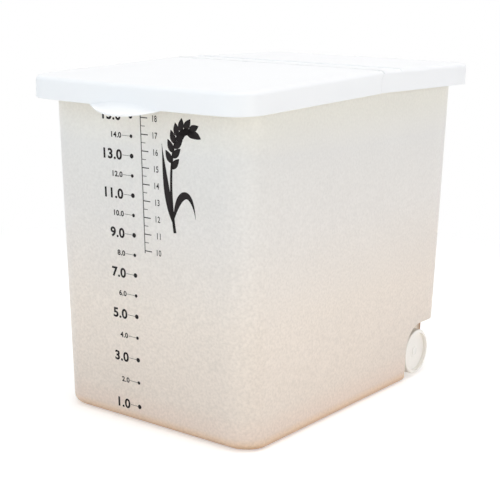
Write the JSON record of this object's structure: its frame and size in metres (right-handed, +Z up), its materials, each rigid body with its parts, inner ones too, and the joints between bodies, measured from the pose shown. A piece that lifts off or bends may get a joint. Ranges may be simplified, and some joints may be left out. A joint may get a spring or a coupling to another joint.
{
  "type": "rice bin with flip lid",
  "caption": "Tapered translucent storage bin with a two-part lid, the front part flipping up by a finger tab, and small rear wheels to roll it when tipped.",
  "frame": {"origin": "centre of the footprint of the whole bin, on the floor that it stands on", "axes": "+Z up, -Y towards the front face with the scale and the finger tab, +Y towards the wheels, +X to the right for someone facing the front"},
  "size_m": [0.234, 0.3824, 0.3045],
  "materials": {
    "tub_plastic": "frosted translucent polypropylene",
    "lid_plastic": "satin white polypropylene",
    "wheel_plastic": "satin white moulded plastic",
    "pin_plastic": "smooth moulded acetal"
  },
  "bodies": {
    "tub": {"bin_body": "tub_plastic", "axle_pin_left": "pin_plastic", "axle_pin_right": "pin_plastic"},
    "cover": {"rear_cover": "lid_plastic"},
    "lid": {"flip_lid": "lid_plastic"},
    "left_wheel": {"wheel_left": "wheel_plastic"},
    "right_wheel": {"wheel_right": "wheel_plastic"}
  },
  "joints": [
    {"name": "cover_lift", "type": "slide", "parent": "tub", "child": "cover", "axis": [0, 0, 1], "range_m": [0, 0.06]},
    {"name": "lid_hinge", "type": "hinge", "parent": "cover", "child": "lid", "pos_m": [0, 0.01975, 0.301], "axis": [-1, 0, 0], "range_deg": [0, 105]},
    {"name": "left_wheel_spin", "type": "hinge", "parent": "tub", "child": "left_wheel", "pos_m": [-0.0977, 0.13075, 0.0241], "axis": [1, 0, 0], "continuous": true},
    {"name": "right_wheel_spin", "type": "hinge", "parent": "tub", "child": "right_wheel", "pos_m": [0.0977, 0.13075, 0.0241], "axis": [1, 0, 0], "continuous": true}
  ]
}
